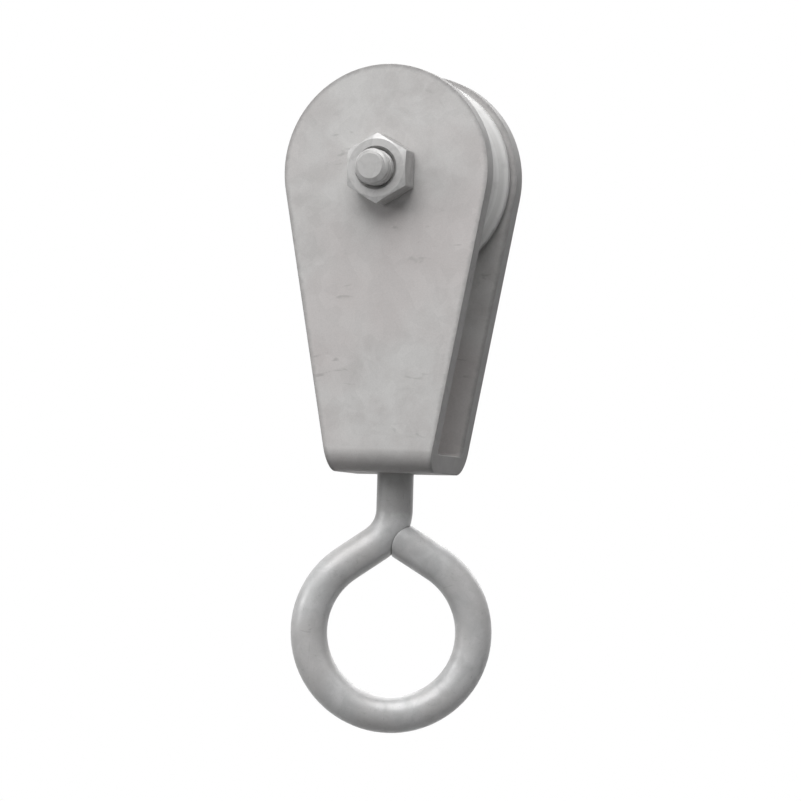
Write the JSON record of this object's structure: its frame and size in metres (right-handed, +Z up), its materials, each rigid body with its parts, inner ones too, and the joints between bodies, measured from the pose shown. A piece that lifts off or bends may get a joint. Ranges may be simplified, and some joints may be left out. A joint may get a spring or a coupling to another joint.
{
  "type": "wire rope pulley",
  "caption": "Small hanging pulley of folded plate, with a grooved wheel that rolls along a wire rope and a swivel eye below that carries a cable or load.",
  "frame": {"origin": "on the centreline of the wire rope that the wheel runs on, straight below the axle", "axes": "X along the rope, Y along the axle away from the nut, Z up"},
  "size_m": [0.035, 0.031, 0.1091],
  "materials": {
    "galvanised_plate": "matte galvanised sheet, faintly mottled",
    "turned_steel": "turned steel, groove polished by the rope",
    "bearing_steel": "ground bearing steel",
    "bearing_balls": "polished bearing steel",
    "cage_polymer": "moulded polyamide",
    "shield_steel": "pressed steel sheet",
    "spacer_steel": "cut steel tube, zinc plated",
    "plated_bolt": "bright zinc plating",
    "plated_nut": "bright zinc plating",
    "plated_washer": "zinc plated",
    "galvanised_rod": "hot-dip galvanised, soft sheen"
  },
  "bodies": {
    "frame": {"housing": "galvanised_plate", "axle_bolt": "plated_bolt", "axle_nut": "plated_nut", "spacer_front": "spacer_steel", "spacer_rear": "spacer_steel", "bearing_inner_ring": "bearing_steel", "swivel_washer": "plated_washer"},
    "wheel": {"sheave": "turned_steel", "bearing_outer_ring": "bearing_steel", "shield_front": "shield_steel", "shield_rear": "shield_steel"},
    "ball_cage": {"bearing_cage": "cage_polymer", "ball_1": "bearing_balls", "ball_2": "bearing_balls", "ball_3": "bearing_balls", "ball_4": "bearing_balls", "ball_5": "bearing_balls", "ball_6": "bearing_balls", "ball_7": "bearing_balls"},
    "eye": {"eye": "galvanised_rod"}
  },
  "joints": [
    {"name": "wheel_spin", "type": "hinge", "parent": "frame", "child": "wheel", "pos_m": [0, 0, 0.0175], "axis": [0, 1, 0], "continuous": true},
    {"name": "ball_cage_spin", "type": "hinge", "parent": "frame", "child": "ball_cage", "pos_m": [0, 0, 0.0175], "axis": [0, 1, 0], "continuous": true},
    {"name": "eye_swivel", "type": "hinge", "parent": "frame", "child": "eye", "pos_m": [0, 0, -0.03], "axis": [0, 0, 1], "continuous": true}
  ],
  "couplings": [
    {"joint": "ball_cage_spin", "follows": "wheel_spin", "ratio": 0.64}
  ]
}
